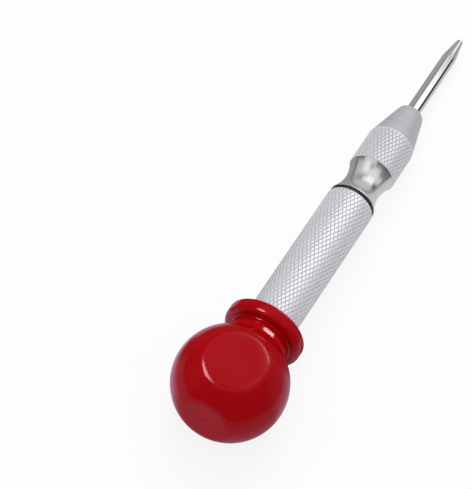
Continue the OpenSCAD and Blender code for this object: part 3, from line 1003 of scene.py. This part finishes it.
def layered(base, panels, u, v):
    """Brightness at a place, where each panel covers the ones before it."""
    level = base
    for across, along, soft, own in panels:
        level += (own - level) * window(u, across, soft) * window(v, along, soft)
    return level


def metal_wall_level(turn, lift):
    place = middle + WALL_R * toward(turn, lift)
    rise = math.degrees(math.atan2(place.z, math.hypot(place.x, place.y)))
    level = layered(WALL_BASE, WALLS, turn, lift)
    return level + (SKIRT_LEVEL - level) * (1 - ease(rise / SKIRT_RISE))


def rear_wall_level(turn, lift):
    return layered(REAR_WALL_BASE, REAR_WALLS, turn, lift)


def cap_wall_level(turn, lift):
    return layered(CAP_WALL_BASE, CAP_WALLS, turn, lift)


def metal_floor_level(x, y):
    """White by the tool with flags beside it, and dim far off."""
    away = math.hypot(max(abs(x - middle.x) - FLOOR_HALF_LENGTH, 0), y)
    level = layered(METAL_FLOOR_BASE, METAL_FLOOR, x, y)
    return level + (FLOOR_FAR_LEVEL - level) * ease((away - FLOOR_NEAR) / (FLOOR_FAR - FLOOR_NEAR))


def cap_floor_level(x, y):
    foot = at(BALL_Z)
    turn = math.degrees(math.atan2(y - foot.y, x - foot.x))
    return layered(CAP_FLOOR_BASE, CAP_FLOOR, turn, math.hypot(x - foot.x, y - foot.y) / MM)


def glow(name, points, faces, levels, colour, seen_by, clear):
    """A stage mesh that only the mirror reflections of some pieces see, with its own brightness at each
    point. A clear one lets the other pieces see what is behind it."""
    mesh = bpy.data.meshes.new(name)
    mesh.from_pydata(points, [], faces)
    mesh.attributes.new("level", "FLOAT", "POINT").data.foreach_set("value", levels)
    made = bpy.data.materials.new(name)
    made.use_nodes = True
    tree = made.node_tree
    tree.nodes.clear()
    level = tree.nodes.new("ShaderNodeAttribute")
    level.attribute_name = "level"
    shine = tree.nodes.new("ShaderNodeEmission")
    shine.inputs["Color"].default_value = (*colour, 1)
    tree.links.new(level.outputs["Fac"], shine.inputs["Strength"])
    surface = shine.outputs["Emission"]
    if clear:
        through = tree.nodes.new("ShaderNodeBsdfTransparent")
        join = tree.nodes.new("ShaderNodeAddShader")
        tree.links.new(surface, join.inputs[0])
        tree.links.new(through.outputs["BSDF"], join.inputs[1])
        surface = join.outputs["Shader"]
    out = tree.nodes.new("ShaderNodeOutputMaterial")
    tree.links.new(surface, out.inputs["Surface"])
    made.cycles.emission_sampling = "NONE"
    mesh.materials.append(made)
    obj = bpy.data.objects.new(name, mesh)
    obj.visible_camera = False
    obj.visible_diffuse = False
    obj.visible_shadow = False
    obj.visible_transmission = False
    scene.collection.objects.link(obj)
    only_for(obj, seen_by)


def grid_faces(rows, columns):
    corners = [i * columns + j for i in range(rows - 1) for j in range(columns - 1)]
    return [(k, k + 1, k + columns + 1, k + columns) for k in corners]


def dome(name, radius, level, colour, seen_by, clear):
    """A dome of soft panels round the tool, down to the floor."""
    turns, lifts = range(-180, 181, DOME_STEP), range(-90, 91, DOME_STEP)
    points = [middle + radius * toward(turn, lift) for turn in turns for lift in lifts]
    levels = [level(turn, lift) for turn in turns for lift in lifts]
    faces = grid_faces(len(turns), len(lifts))
    above = [face for face in faces if max(points[k].z for k in face) > 0]
    glow(name, points, above, levels, colour, seen_by, clear)


def floor_flags(name, height, level, colour, seen_by, clear):
    """Flags just above the floor, beside the tool and farther off."""
    steps = [(i - FLAG_COUNT // 2) * FLAG_STEP for i in range(FLAG_COUNT)]
    points = [(x, y, height) for x in steps for y in steps]
    levels = [level(x, y) for x in steps for y in steps]
    glow(name, points, grid_faces(FLAG_COUNT, FLAG_COUNT), levels, colour, seen_by, clear)


floor()
world()
lamp("key_light", -25, 25, 0.36)
lamp("fill_light", -16, -27, 0.20)
highlight("neck_light", red_cap, 14, 44.5, (0.200, 0.040), 26.0)
highlight("edge_light", red_cap, -38, -22, (0.100, 0.170), 16.0)
highlight("barrel_light", knurled_barrel, 0, 34, (1.1, 0.177), 0.72)
highlight("point_light", steel_point, 12, 66, (0.120, 0.110), 0.9)

# The outer dome and the lower flags are opaque, so that no piece mirrors the white world behind them
bright_metal = (knurled_barrel, turned_nose, steel_point)
all_but_cap = (*bright_metal, rubber_ring, frame["nodes"]["adjusting_cap"])
dome("metal_walls", WALL_R, metal_wall_level, WHITE, all_but_cap, False)
dome("rear_walls", REAR_WALL_R, rear_wall_level, WHITE, bright_metal, True)
dome("cap_walls", CAP_WALL_R, cap_wall_level, COOL, (red_cap,), True)
floor_flags("metal_flags", METAL_FLAG_Z, metal_floor_level, WHITE, all_but_cap, False)
floor_flags("cap_flags", CAP_FLAG_Z, cap_floor_level, COOL, (red_cap,), True)
